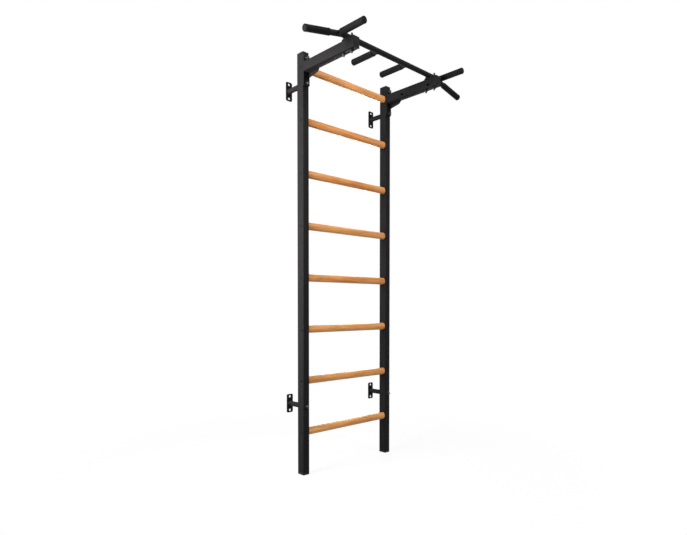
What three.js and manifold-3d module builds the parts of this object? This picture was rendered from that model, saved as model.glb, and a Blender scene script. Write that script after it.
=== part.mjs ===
// Swedish wall bars: a ladder of two rectangular steel uprights and eight oval beech rungs,
// held off the wall by four brackets, with a bolted-on pull-up bar that has six grips.
// Millimetres. X runs along the rungs, the wall is the plane Y = 0, the room lies
// towards -Y, and Z points up from the floor.

import * as THREE from 'three';
import { mergeVertices } from 'three/addons/utils/BufferGeometryUtils.js';
import Module from 'manifold-3d';

const wasm = await Module();
wasm.setup();

// Driving dimensions: ladder
const HEIGHT = 2200;
const OVERALL_WIDTH = 675;
const WALL_GAP = 95;
const UPRIGHT_WIDTH = 40;
const UPRIGHT_DEPTH = 50;
const TUBE_WALL = 2;
const TUBE_CORNER = 4;
const CAP_THICKNESS = 3;
const FOOT_THICKNESS = 10;
const PLUG_LENGTH = 16;
const PLUG_WALL = 3;
const RUNG_COUNT = 8;
const TOP_TO_RUNG = 77;
const FLOOR_TO_RUNG = 226;
const RUNG_HEIGHT = 40;
const RUNG_DEPTH = 30;
const RUNG_SETBACK = 18;
const RUNG_CHAMFER = 1.5;
const RUNG_SCREW = 8;
const RUNG_BORE_DEPTH = 60;

// Driving dimensions: wall brackets
const PLATE_WIDTH = 40;
const PLATE_HEIGHT = 100;
const PLATE_THICKNESS = 4;
const PLATE_CORNER = 8;
const PLATE_HOLE = 13;
const PLATE_HOLE_SPACING = 74;
const STUB_DIAMETER = 27;
const STUB_WALL = 2.5;
const UPPER_BRACKET_DROP = 162;

// Driving dimensions: fasteners of the frame, all of one thread size
const THREAD = 10;
const NUT_ACROSS_FLATS = 17;
const NUT_HEIGHT = 8;
const DOME_NUT_HEIGHT = 18;
const DOME_DIAMETER = 15;
const THREAD_IN_DOME = 12;
const BOLT_HEAD_HEIGHT = 6.5;
const THREAD_CHAMFER = 1;

// Driving dimensions: arms
const ARM_DROP = 53;
const ARM_HEIGHT = 50;
const ARM_BEYOND_BAR = 53;
const FLANGE_THICKNESS = 6;
const FLANGE_CORNER = 4;
const FLANGE_DROP = 18;
const FLANGE_BOLT_DROP = 35;
const FLANGE_MARGIN = 11;
const GUSSET_LENGTH = 78;
const GUSSET_DEPTH = 25;
const GUSSET_NOSE = 13;
const GUSSET_THICKNESS = 5;
const SIDE_SLOT_LENGTH = 20;
const SIDE_SLOT_WIDTH = 10;
const SIDE_SLOT_HEIGHT = 18;
const REAR_SLOT_REACH = 123;

// Driving dimensions: pull-up bar and its saddles
const BAR_DIAMETER = 27;
const BAR_WALL = 2.5;
const BAR_REACH = 312;
const BAR_RISE = 20;
const BEND_OVERHANG = 15;
const BAR_BEND_RADIUS = 60;
const BAR_DROP_ANGLE = THREE.MathUtils.degToRad(12.3);
const BAR_OVERHANG = 247;
const SADDLE_THICKNESS = 5;
const SADDLE_LIP = 5;
const SADDLE_REAR = 21;
const TONGUE_WIDTH = 20;
const TONGUE_REACH = 40;
const TONGUE_CORNER = 4;
const CRADLE_WIDTH = 28;
const CRADLE_HALF_FOOT = 18;
const CRADLE_HALF_TOP = 14;
const CRADLE_TOP_BELOW_AXIS = 6;
const STUD_SPACING = 56;
const STUD_TAIL_ABOVE = 23;
const STUD_TAIL_BELOW = 16;

// Driving dimensions: grips
const INNER_GRIP_X = 109;
const INNER_GRIP_REACH = 178;
const FORWARD_GRIP_OVERHANG = 40;
const FORWARD_GRIP_REACH = 172;
const SLEEVE_DIAMETER = 33;
const SLEEVE_LENGTH = 150;
const SLEEVE_END = 5;
const SLEEVE_ROUNDING = 5;
const SLEEVE_CHAMFER = 1;

// Clearances
const FIT = 0.3;

// Facet counts
const ROUND_SIDES = 18;
const HOLE_SIDES = 12;
const ARC_STEPS = 2;
const OVAL_STEPS = 10;
const BEND_STEPS = 3;
const MERGE_TOLERANCE = 1e-4;
const CUT_OVERRUN = 1;

// Places worked out from the driving dimensions
const UPRIGHT_X = (OVERALL_WIDTH - UPRIGHT_WIDTH) / 2;
const UPRIGHT_Y = -(WALL_GAP + UPRIGHT_DEPTH / 2);
const REAR_Y = -WALL_GAP;
const FRONT_Y = -(WALL_GAP + UPRIGHT_DEPTH);
const RUNG_Y = FRONT_Y + RUNG_SETBACK;
const FLANGE_FRONT_Y = FRONT_Y - FLANGE_THICKNESS;
const UPPER_BRACKET_Z = HEIGHT - UPPER_BRACKET_DROP;
const ARM_TOP_Z = HEIGHT - ARM_DROP;
const ARM_BOTTOM_Z = ARM_TOP_Z - ARM_HEIGHT;
const BAR_Y = FRONT_Y - BAR_REACH;
const ARM_END_Y = BAR_Y - ARM_BEYOND_BAR;
const BAR_Z = ARM_TOP_Z + BAR_RISE;
const SADDLE_TOP_Z = ARM_TOP_Z + FIT + SADDLE_THICKNESS;
const BAR_BEND_X = OVERALL_WIDTH / 2 + BEND_OVERHANG;
const BAR_HALF_SPAN = OVERALL_WIDTH / 2 + BAR_OVERHANG;
const FORWARD_GRIP_X = OVERALL_WIDTH / 2 + FORWARD_GRIP_OVERHANG;
const RUNG_PITCH = (HEIGHT - TOP_TO_RUNG - FLOOR_TO_RUNG) / (RUNG_COUNT - 1);
const CLEARANCE_HOLE = THREAD + 2 * FIT;
const SIDES = { left: -1, right: 1 };
const GOING_UP = new THREE.Vector3(0, 1, 0);
const DRAWN_TO_SIDE = new THREE.Matrix4().makeBasis(
  new THREE.Vector3(0, 1, 0),
  new THREE.Vector3(0, 0, 1),
  new THREE.Vector3(1, 0, 0),
);

function rungZ(index) {
  return HEIGHT - TOP_TO_RUNG - index * RUNG_PITCH;
}

const LOWER_BRACKET_Z = (rungZ(RUNG_COUNT - 1) + rungZ(RUNG_COUNT - 2)) / 2;

// Materials
const powderCoat = { color: 0x1f1e1e, roughness: 0.55, metalness: 0.2 };
const beech = { color: 0xd9a066, roughness: 0.5, metalness: 0 };
const blackPlastic = { color: 0x161616, roughness: 0.6, metalness: 0 };
const rubber = { color: 0x1b1b1b, roughness: 0.85, metalness: 0 };
const blackZinc = { color: 0x2c2c2e, roughness: 0.35, metalness: 0.8 };

const wallBars = new THREE.Group();

function addPart(name, solid, finish) {
  const mesh = new THREE.Mesh(toGeometry(solid), new THREE.MeshStandardMaterial(finish));
  mesh.name = name;
  wallBars.add(mesh);
}

// Closed surfaces as solids

function toSolid(geometry) {
  const bare = geometry.clone();
  bare.deleteAttribute('normal');
  bare.deleteAttribute('uv');
  const merged = mergeVertices(bare, MERGE_TOLERANCE);
  const corners = merged.index.array;
  const kept = [];
  for (let i = 0; i < corners.length; i += 3) {
    const [a, b, c] = corners.slice(i, i + 3);
    if (a !== b && b !== c && c !== a) {
      kept.push(a, b, c);
    }
  }
  return new wasm.Manifold(new wasm.Mesh({
    numProp: 3,
    vertProperties: new Float32Array(merged.attributes.position.array),
    triVerts: new Uint32Array(kept),
  }));
}

function toGeometry(solid) {
  const mesh = solid.getMesh();
  const geometry = new THREE.BufferGeometry();
  geometry.setAttribute('position', new THREE.BufferAttribute(mesh.vertProperties, 3));
  geometry.setIndex(new THREE.BufferAttribute(mesh.triVerts, 1));
  geometry.computeVertexNormals();
  return geometry;
}

function join(...solids) {
  return solids.reduce((whole, next) => whole.add(next));
}

function cut(solid, ...tools) {
  return tools.reduce((rest, tool) => rest.subtract(tool), solid);
}

function moved(solid, x, y, z) {
  return solid.translate([x, y, z]);
}

// Basic forms

function roundedRectangle(width, height, radius) {
  const x = width / 2;
  const y = height / 2;
  const shape = new THREE.Shape();
  shape.moveTo(-x + radius, -y);
  shape.absarc(x - radius, -y + radius, radius, -Math.PI / 2, 0);
  shape.absarc(x - radius, y - radius, radius, 0, Math.PI / 2);
  shape.absarc(-x + radius, y - radius, radius, Math.PI / 2, Math.PI);
  shape.absarc(-x + radius, -y + radius, radius, Math.PI, Math.PI * 1.5);
  shape.closePath();
  return shape;
}

function boxTubeShape(width, depth) {
  const shape = roundedRectangle(width, depth, TUBE_CORNER);
  const inside = TUBE_CORNER - TUBE_WALL;
  shape.holes.push(roundedRectangle(width - 2 * TUBE_WALL, depth - 2 * TUBE_WALL, inside));
  return shape;
}

function extruded(shape, depth, curveSegments = ARC_STEPS) {
  return new THREE.ExtrudeGeometry(shape, { depth, bevelEnabled: false, curveSegments });
}

// A shape drawn in X and Z, made thick from Y = 0 towards -Y
function frontal(shape, depth) {
  return toSolid(extruded(shape, depth).rotateX(Math.PI / 2));
}

// A shape drawn in Y and Z, made thick evenly about X = 0
function lateral(shape, width, curveSegments = ARC_STEPS) {
  const geometry = extruded(shape, width, curveSegments).translate(0, 0, -width / 2);
  return toSolid(geometry.applyMatrix4(DRAWN_TO_SIDE));
}

function rod(diameter, start, end, sides = HOLE_SIDES) {
  const axis = new THREE.Vector3().subVectors(end, start);
  const geometry = new THREE.CylinderGeometry(diameter / 2, diameter / 2, axis.length(), sides);
  const turn = new THREE.Quaternion().setFromUnitVectors(GOING_UP, axis.clone().normalize());
  const middle = new THREE.Vector3().addVectors(start, end).multiplyScalar(0.5);
  return toSolid(geometry.applyQuaternion(turn).translate(middle.x, middle.y, middle.z));
}

function rodAlongX(diameter, x0, x1, y, z, sides) {
  return rod(diameter, new THREE.Vector3(x0, y, z), new THREE.Vector3(x1, y, z), sides);
}

function rodAlongY(diameter, y0, y1, x, z, sides) {
  return rod(diameter, new THREE.Vector3(x, y0, z), new THREE.Vector3(x, y1, z), sides);
}

function rodAlongZ(diameter, z0, z1, x, y, sides) {
  return rod(diameter, new THREE.Vector3(x, y, z0), new THREE.Vector3(x, y, z1), sides);
}

// Uprights with their end caps

function makeUpright(x) {
  const length = HEIGHT - CAP_THICKNESS - FOOT_THICKNESS - 2 * FIT;
  const tube = toSolid(extruded(boxTubeShape(UPRIGHT_WIDTH, UPRIGHT_DEPTH), length));
  const across = UPRIGHT_WIDTH / 2 + CUT_OVERRUN;
  const holes = [];
  for (let i = 0; i < RUNG_COUNT; i += 1) {
    holes.push(rodAlongX(RUNG_SCREW + 2 * FIT, x - across, x + across, RUNG_Y, rungZ(i)));
  }
  for (const z of [LOWER_BRACKET_Z, UPPER_BRACKET_Z, HEIGHT - FLANGE_BOLT_DROP]) {
    holes.push(rodAlongY(CLEARANCE_HOLE, FRONT_Y - CUT_OVERRUN, REAR_Y + CUT_OVERRUN, x, z));
  }
  return cut(moved(tube, x, UPRIGHT_Y, FOOT_THICKNESS + FIT), ...holes);
}

// A plate as wide as the tube with a hollow plug that slides into the tube's end
function makeEndCap(thickness) {
  const plate = toSolid(extruded(roundedRectangle(UPRIGHT_WIDTH, UPRIGHT_DEPTH, TUBE_CORNER), thickness));
  const inset = 2 * (TUBE_WALL + FIT);
  const corner = TUBE_CORNER - TUBE_WALL;
  const collar = roundedRectangle(UPRIGHT_WIDTH - inset, UPRIGHT_DEPTH - inset, corner);
  const hollow = inset + 2 * PLUG_WALL;
  collar.holes.push(roundedRectangle(UPRIGHT_WIDTH - hollow, UPRIGHT_DEPTH - hollow, corner / 2));
  const plug = toSolid(extruded(collar, PLUG_LENGTH + thickness / 2));
  return join(plate, moved(plug, 0, 0, thickness / 2));
}

// Rungs, bored at both ends for the screws that come through the uprights

function makeRung(z) {
  const half = UPRIGHT_X - UPRIGHT_WIDTH / 2 - FIT;
  const oval = new THREE.Shape();
  const drawnDepth = RUNG_DEPTH / 2 - RUNG_CHAMFER;
  const drawnHeight = RUNG_HEIGHT / 2 - RUNG_CHAMFER;
  oval.absellipse(0, 0, drawnDepth, drawnHeight, 0, Math.PI * 2);
  const geometry = new THREE.ExtrudeGeometry(oval, {
    depth: 2 * (half - RUNG_CHAMFER),
    curveSegments: OVAL_STEPS,
    bevelSize: RUNG_CHAMFER,
    bevelThickness: RUNG_CHAMFER,
    bevelSegments: 1,
  });
  geometry.translate(0, 0, -(half - RUNG_CHAMFER)).applyMatrix4(DRAWN_TO_SIDE);
  const bores = Object.values(SIDES).map((side) => rodAlongX(
    RUNG_SCREW,
    side * (half - RUNG_BORE_DEPTH),
    side * (half + CUT_OVERRUN),
    0,
    0,
  ));
  return moved(cut(toSolid(geometry), ...bores), 0, RUNG_Y, z);
}

// Wall brackets: drilled plate with a round stand-off tube, and a long stud inside the tube

function makeWallBracket(x, z, clampedDepth) {
  const plate = frontal(roundedRectangle(PLATE_WIDTH, PLATE_HEIGHT, PLATE_CORNER), PLATE_THICKNESS);
  const holes = Object.values(SIDES).map((side) => rodAlongY(
    PLATE_HOLE,
    -PLATE_THICKNESS - CUT_OVERRUN,
    CUT_OVERRUN,
    0,
    (side * PLATE_HOLE_SPACING) / 2,
  ));
  const weldY = -PLATE_THICKNESS / 2;
  const end = REAR_Y + FIT;
  const bore = STUB_DIAMETER - 2 * STUB_WALL;
  const tube = cut(
    rodAlongY(STUB_DIAMETER, weldY, end, 0, 0, ROUND_SIDES),
    rodAlongY(bore, weldY + CUT_OVERRUN, end - CUT_OVERRUN, 0, 0, ROUND_SIDES),
  );
  const stud = rodAlongY(THREAD, weldY, FRONT_Y - clampedDepth - THREAD_IN_DOME, 0, 0);
  return moved(join(cut(plate, ...holes), tube, stud), x, 0, z);
}

// Fasteners

function threadedRod(length) {
  const radius = THREAD / 2;
  const profile = [
    new THREE.Vector2(0, 0),
    new THREE.Vector2(radius - THREAD_CHAMFER, 0),
    new THREE.Vector2(radius, THREAD_CHAMFER),
    new THREE.Vector2(radius, length - THREAD_CHAMFER),
    new THREE.Vector2(radius - THREAD_CHAMFER, length),
    new THREE.Vector2(0, length),
  ];
  return toSolid(new THREE.LatheGeometry(profile, HOLE_SIDES).rotateX(Math.PI / 2));
}

function hexPrism(height) {
  const radius = NUT_ACROSS_FLATS / Math.sqrt(3);
  const geometry = new THREE.CylinderGeometry(radius, radius, height, 6);
  return toSolid(geometry.rotateX(Math.PI / 2).translate(0, 0, height / 2));
}

// Hexagon nut standing on Z = 0
function makeNut() {
  const bore = rodAlongZ(CLEARANCE_HOLE, -CUT_OVERRUN, NUT_HEIGHT + CUT_OVERRUN, 0, 0);
  return cut(hexPrism(NUT_HEIGHT), bore);
}

// Dome nut with its seat on Y = 0, pointing towards -Y
function makeDomeNut() {
  const shoulder = DOME_NUT_HEIGHT - DOME_DIAMETER / 2;
  const outline = new THREE.Path();
  outline.moveTo(0, 0);
  outline.lineTo(DOME_DIAMETER / 2, 0);
  outline.absarc(0, shoulder, DOME_DIAMETER / 2, 0, Math.PI / 2);
  const lathe = new THREE.LatheGeometry(outline.getPoints(ARC_STEPS), HOLE_SIDES);
  const dome = toSolid(lathe.rotateX(Math.PI / 2));
  const bore = rodAlongZ(CLEARANCE_HOLE, -CUT_OVERRUN, THREAD_IN_DOME + FIT, 0, 0);
  return cut(join(hexPrism(NUT_HEIGHT), dome), bore).rotate([90, 0, 0]);
}

// Hexagon bolt along Y: head behind the upright, thread ending inside the dome nut
function makeFlangeBolt(x, z) {
  const seat = REAR_Y + FIT;
  const tip = FLANGE_FRONT_Y - THREAD_IN_DOME;
  const shank = rodAlongY(THREAD, seat + BOLT_HEAD_HEIGHT / 2, tip, x, z);
  const head = moved(hexPrism(BOLT_HEAD_HEIGHT).rotate([-90, 0, 0]), x, seat, z);
  return join(head, shank);
}

// Arms: box tube welded to a bolting flange, stiffened below by a gusset flush with one side

function makeArm(x, innerSide) {
  const bottom = UPPER_BRACKET_DROP + FLANGE_MARGIN;
  const flangeHeight = bottom - FLANGE_DROP;
  const flangeZ = HEIGHT - (bottom + FLANGE_DROP) / 2;
  const flangeShape = roundedRectangle(UPRIGHT_WIDTH, flangeHeight, FLANGE_CORNER);
  const flange = moved(frontal(flangeShape, FLANGE_THICKNESS - FIT), 0, FRONT_Y - FIT, flangeZ);
  const holes = [UPPER_BRACKET_Z, HEIGHT - FLANGE_BOLT_DROP].map((z) => rodAlongY(
    CLEARANCE_HOLE,
    FLANGE_FRONT_Y - CUT_OVERRUN,
    FRONT_Y + CUT_OVERRUN,
    0,
    z,
  ));
  const weldY = FLANGE_FRONT_Y + FLANGE_THICKNESS / 2;
  const tubeShape = boxTubeShape(UPRIGHT_WIDTH, ARM_HEIGHT);
  const armMiddleZ = ARM_TOP_Z - ARM_HEIGHT / 2;
  const tube = moved(frontal(tubeShape, weldY - ARM_END_Y), 0, weldY, armMiddleZ);

  const gussetShape = new THREE.Shape();
  const buried = ARM_BOTTOM_Z + TUBE_WALL / 2;
  const tipY = FLANGE_FRONT_Y - GUSSET_LENGTH;
  gussetShape.moveTo(weldY, buried);
  gussetShape.lineTo(tipY, buried);
  gussetShape.lineTo(tipY, ARM_BOTTOM_Z);
  gussetShape.lineTo(tipY + GUSSET_NOSE, ARM_BOTTOM_Z - GUSSET_NOSE);
  gussetShape.lineTo(weldY, ARM_BOTTOM_Z - GUSSET_DEPTH);
  gussetShape.closePath();
  const gussetX = UPRIGHT_WIDTH / 2 - GUSSET_THICKNESS / 2;
  const gusset = moved(lateral(gussetShape, GUSSET_THICKNESS), gussetX, 0, 0);

  const studHoles = studPlaces().map((y) => rodAlongZ(
    CLEARANCE_HOLE,
    ARM_BOTTOM_Z - CUT_OVERRUN,
    ARM_TOP_Z + CUT_OVERRUN,
    0,
    y,
  ));
  const slots = [FRONT_Y - REAR_SLOT_REACH, BAR_Y].map((y) => sideSlot(innerSide, y));
  return moved(cut(join(cut(flange, ...holes), tube, gusset), ...studHoles, ...slots), x, 0, 0);
}

// Round-ended slot through the arm's inner wall
function sideSlot(innerSide, y) {
  const radius = SIDE_SLOT_WIDTH / 2;
  const centre = SIDE_SLOT_LENGTH / 2 - radius;
  const slot = new THREE.Shape();
  slot.absarc(centre, 0, radius, -Math.PI / 2, Math.PI / 2);
  slot.absarc(-centre, 0, radius, Math.PI / 2, Math.PI * 1.5);
  const depth = 2 * (TUBE_WALL + CUT_OVERRUN);
  return moved(lateral(slot, depth), (innerSide * UPRIGHT_WIDTH) / 2, y, ARM_BOTTOM_Z + SIDE_SLOT_HEIGHT);
}

function studPlaces() {
  return [BAR_Y + STUD_SPACING / 2, BAR_Y - STUD_SPACING / 2];
}

// Saddle: base plate folded down over the arm's open end, with a narrow tongue at the rear
// and a cradle for the bar

function makeSaddle(x) {
  const underside = ARM_TOP_Z + FIT;
  const lipRear = ARM_END_Y - FIT;
  const lipFront = lipRear - SADDLE_LIP;
  const baseShape = new THREE.Shape();
  baseShape.moveTo(BAR_Y + SADDLE_REAR, underside);
  baseShape.lineTo(BAR_Y + SADDLE_REAR, SADDLE_TOP_Z);
  baseShape.lineTo(lipRear, SADDLE_TOP_Z);
  baseShape.absarc(lipRear, SADDLE_TOP_Z - SADDLE_LIP, SADDLE_LIP, Math.PI / 2, Math.PI);
  baseShape.lineTo(lipFront, ARM_BOTTOM_Z);
  baseShape.lineTo(lipRear, ARM_BOTTOM_Z);
  baseShape.lineTo(lipRear, underside);
  baseShape.closePath();
  const base = lateral(baseShape, UPRIGHT_WIDTH);

  const tongueShape = roundedRectangle(TONGUE_WIDTH, TONGUE_REACH, TONGUE_CORNER);
  const tongue = moved(
    toSolid(extruded(tongueShape, SADDLE_THICKNESS)),
    0,
    BAR_Y + TONGUE_REACH / 2,
    underside,
  );

  const cradleShape = new THREE.Shape();
  const cradleTop = BAR_Z - CRADLE_TOP_BELOW_AXIS;
  const rear = [BAR_Y + CRADLE_HALF_TOP, BAR_Y + CRADLE_HALF_FOOT];
  const front = [BAR_Y - CRADLE_HALF_TOP, BAR_Y - CRADLE_HALF_FOOT];
  cradleShape.moveTo(front[1], SADDLE_TOP_Z - SADDLE_THICKNESS / 2);
  cradleShape.lineTo(rear[1], SADDLE_TOP_Z - SADDLE_THICKNESS / 2);
  cradleShape.lineTo(rear[1], SADDLE_TOP_Z);
  cradleShape.quadraticCurveTo(rear[0], SADDLE_TOP_Z, rear[0], cradleTop);
  cradleShape.lineTo(front[0], cradleTop);
  cradleShape.quadraticCurveTo(front[0], SADDLE_TOP_Z, front[1], SADDLE_TOP_Z);
  cradleShape.closePath();
  const cradle = lateral(cradleShape, CRADLE_WIDTH, 2 * ARC_STEPS);

  const reach = UPRIGHT_WIDTH / 2 + CUT_OVERRUN;
  const seat = rodAlongX(BAR_DIAMETER + 2 * FIT, -reach, reach, BAR_Y, BAR_Z, ROUND_SIDES);
  const holes = studPlaces().map((y) => rodAlongZ(
    CLEARANCE_HOLE,
    underside - CUT_OVERRUN,
    SADDLE_TOP_Z + CUT_OVERRUN,
    0,
    y,
  ));
  return moved(cut(join(base, tongue, cradle), seat, ...holes), x, 0, 0);
}

// Pull-up bar: straight in the middle, bent down towards both ends

class BarPath extends THREE.Curve {
  constructor() {
    super();
    const setback = BAR_BEND_RADIUS * Math.tan(BAR_DROP_ANGLE / 2);
    const tail = (barEndX() - BAR_BEND_X) / Math.cos(BAR_DROP_ANGLE);
    this.bendStart = BAR_BEND_X - setback;
    this.tailLength = tail - setback;
  }

  // Half of the bar for s from 0 at the middle to 1 at the end, with most points in the bend
  halfPoint(s) {
    const place = s * (BEND_STEPS + 2);
    if (place <= 1) {
      return [this.bendStart * place, 0];
    }
    const turned = BAR_DROP_ANGLE * Math.min((place - 1) / BEND_STEPS, 1);
    const beyond = this.tailLength * Math.max(place - 1 - BEND_STEPS, 0);
    return [
      this.bendStart + BAR_BEND_RADIUS * Math.sin(turned) + beyond * Math.cos(turned),
      -BAR_BEND_RADIUS * (1 - Math.cos(turned)) - beyond * Math.sin(turned),
    ];
  }

  getPoint(t, target = new THREE.Vector3()) {
    const s = 2 * t - 1;
    const [across, down] = this.halfPoint(Math.abs(s));
    return target.set(Math.sign(s) * across, BAR_Y, BAR_Z + down);
  }

  getPointAt(u, target) {
    return this.getPoint(u, target);
  }

  getSpacedPoints(divisions) {
    return this.getPoints(divisions);
  }

  getTangentAt(u, target = new THREE.Vector3()) {
    const s = 2 * u - 1;
    const place = Math.abs(s) * (BEND_STEPS + 2);
    const turned = BAR_DROP_ANGLE * THREE.MathUtils.clamp((place - 1) / BEND_STEPS, 0, 1);
    return target.set(Math.cos(turned), 0, -Math.sign(s) * Math.sin(turned));
  }
}

function barEndX() {
  return BAR_HALF_SPAN - (SLEEVE_END + FIT) * Math.cos(BAR_DROP_ANGLE);
}

function makeBar() {
  const section = new THREE.Shape();
  section.absarc(0, 0, BAR_DIAMETER / 2, 0, Math.PI * 2);
  const bore = new THREE.Path();
  bore.absarc(0, 0, BAR_DIAMETER / 2 - BAR_WALL, 0, Math.PI * 2);
  section.holes.push(bore);
  return toSolid(new THREE.ExtrudeGeometry(section, {
    steps: 2 * (BEND_STEPS + 2),
    curveSegments: ROUND_SIDES / 2,
    extrudePath: new BarPath(),
  }));
}

// Height of the bent bar's axis at a distance from the middle
function barAxisZ(x) {
  return BAR_Z - (Math.abs(x) - BAR_BEND_X) * Math.tan(BAR_DROP_ANGLE);
}

// Spur tube whose root is cut to the curve of the bar it is welded to
function makeSpur(root, tip, alongBar) {
  const past = tip.clone().lerp(root, -CUT_OVERRUN / root.distanceTo(tip));
  const outside = rod(BAR_DIAMETER, root, tip, ROUND_SIDES);
  const inside = rod(BAR_DIAMETER - 2 * BAR_WALL, root, past, ROUND_SIDES);
  const barSurface = rod(
    BAR_DIAMETER + 2 * FIT,
    root.clone().addScaledVector(alongBar, -BAR_DIAMETER),
    root.clone().addScaledVector(alongBar, BAR_DIAMETER),
    ROUND_SIDES,
  );
  return cut(outside, inside, barSurface);
}

// Closed rubber sleeve along a direction, with its rounded end at the given tip
function makeSleeve(tip, direction) {
  const outer = SLEEVE_DIAMETER / 2;
  const inner = BAR_DIAMETER / 2 + FIT;
  const outline = new THREE.Path();
  outline.moveTo(0, SLEEVE_LENGTH - SLEEVE_END);
  outline.lineTo(inner, SLEEVE_LENGTH - SLEEVE_END);
  outline.lineTo(inner, 0);
  outline.lineTo(outer - SLEEVE_CHAMFER, 0);
  outline.lineTo(outer, SLEEVE_CHAMFER);
  outline.absarc(outer - SLEEVE_ROUNDING, SLEEVE_LENGTH - SLEEVE_ROUNDING, SLEEVE_ROUNDING, 0, Math.PI / 2);
  outline.lineTo(0, SLEEVE_LENGTH);
  const lathe = new THREE.LatheGeometry(outline.getPoints(ARC_STEPS), ROUND_SIDES);
  const turn = new THREE.Quaternion().setFromUnitVectors(GOING_UP, direction);
  const start = tip.clone().addScaledVector(direction, -SLEEVE_LENGTH);
  return toSolid(lathe.applyQuaternion(turn).translate(start.x, start.y, start.z));
}

// Assembly: ladder

for (const [sideName, side] of Object.entries(SIDES)) {
  const x = side * UPRIGHT_X;
  addPart(`${sideName}_upright`, makeUpright(x), powderCoat);
  const topCap = makeEndCap(CAP_THICKNESS).rotate([180, 0, 0]);
  addPart(`${sideName}_top_cap`, moved(topCap, x, UPRIGHT_Y, HEIGHT), blackPlastic);
  addPart(`${sideName}_foot`, moved(makeEndCap(FOOT_THICKNESS), x, UPRIGHT_Y, 0), blackPlastic);
}

for (let i = 0; i < RUNG_COUNT; i += 1) {
  addPart(`rung_${i + 1}`, makeRung(rungZ(i)), beech);
}

// Assembly: wall brackets with the dome nuts that hold the uprights to them

const bracketLevels = {
  upper: { z: UPPER_BRACKET_Z, clampedDepth: FLANGE_THICKNESS },
  lower: { z: LOWER_BRACKET_Z, clampedDepth: 0 },
};

for (const [levelName, { z, clampedDepth }] of Object.entries(bracketLevels)) {
  for (const [sideName, side] of Object.entries(SIDES)) {
    const x = side * UPRIGHT_X;
    addPart(`${levelName}_${sideName}_wall_bracket`, makeWallBracket(x, z, clampedDepth), powderCoat);
    const nut = moved(makeDomeNut(), x, FRONT_Y - clampedDepth - FIT, z);
    addPart(`${levelName}_${sideName}_dome_nut`, nut, blackZinc);
  }
}

// Assembly: arms, saddles and their fasteners

for (const [sideName, side] of Object.entries(SIDES)) {
  const x = side * UPRIGHT_X;
  const boltZ = HEIGHT - FLANGE_BOLT_DROP;
  addPart(`${sideName}_arm`, makeArm(x, -side), powderCoat);
  addPart(`${sideName}_flange_bolt`, makeFlangeBolt(x, boltZ), blackZinc);
  addPart(`${sideName}_flange_nut`, moved(makeDomeNut(), x, FLANGE_FRONT_Y - FIT, boltZ), blackZinc);
  addPart(`${sideName}_saddle`, makeSaddle(x), powderCoat);
  const studLow = ARM_BOTTOM_Z - STUD_TAIL_BELOW;
  const studLength = SADDLE_TOP_Z + STUD_TAIL_ABOVE - studLow;
  studPlaces().forEach((y, i) => {
    const place = `${sideName}_${['rear', 'front'][i]}`;
    addPart(`${place}_stud`, moved(threadedRod(studLength), x, y, studLow), blackZinc);
    addPart(`${place}_upper_nut`, moved(makeNut(), x, y, SADDLE_TOP_Z + FIT), blackZinc);
    const lowerNut = moved(makeNut().rotate([180, 0, 0]), x, y, ARM_BOTTOM_Z - FIT);
    addPart(`${place}_lower_nut`, lowerNut, blackZinc);
  });
}

// Assembly: pull-up bar with spurs and sleeves

addPart('pull_up_bar', makeBar(), powderCoat);

for (const [sideName, side] of Object.entries(SIDES)) {
  const forward = new THREE.Vector3(0, -1, 0);
  const backward = new THREE.Vector3(0, 1, 0);
  const outward = new THREE.Vector3(side * Math.cos(BAR_DROP_ANGLE), 0, -Math.sin(BAR_DROP_ANGLE));
  const spurs = {
    forward: {
      root: new THREE.Vector3(side * FORWARD_GRIP_X, BAR_Y, barAxisZ(FORWARD_GRIP_X)),
      alongBar: outward,
      direction: forward,
      reach: FORWARD_GRIP_REACH,
    },
    inner: {
      root: new THREE.Vector3(side * INNER_GRIP_X, BAR_Y, BAR_Z),
      alongBar: new THREE.Vector3(side, 0, 0),
      direction: backward,
      reach: INNER_GRIP_REACH,
    },
  };
  for (const [spurName, { root, alongBar, direction, reach }] of Object.entries(spurs)) {
    const tip = root.clone().addScaledVector(direction, reach);
    const tubeTip = root.clone().addScaledVector(direction, reach - SLEEVE_END - FIT);
    addPart(`${sideName}_${spurName}_spur`, makeSpur(root, tubeTip, alongBar), powderCoat);
    addPart(`${sideName}_${spurName}_sleeve`, makeSleeve(tip, direction), rubber);
  }
  const barTip = new THREE.Vector3(side * BAR_HALF_SPAN, BAR_Y, barAxisZ(BAR_HALF_SPAN));
  addPart(`${sideName}_outer_sleeve`, makeSleeve(barTip, outward), rubber);
}

export default wallBars;
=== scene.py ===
"""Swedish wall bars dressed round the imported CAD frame.

Metres. X runs along the rungs, the wall is the plane y = 0, the room lies towards -y, z is up.
"""
import math
import random

import bmesh
import bpy
from mathutils import Matrix, Vector


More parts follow.
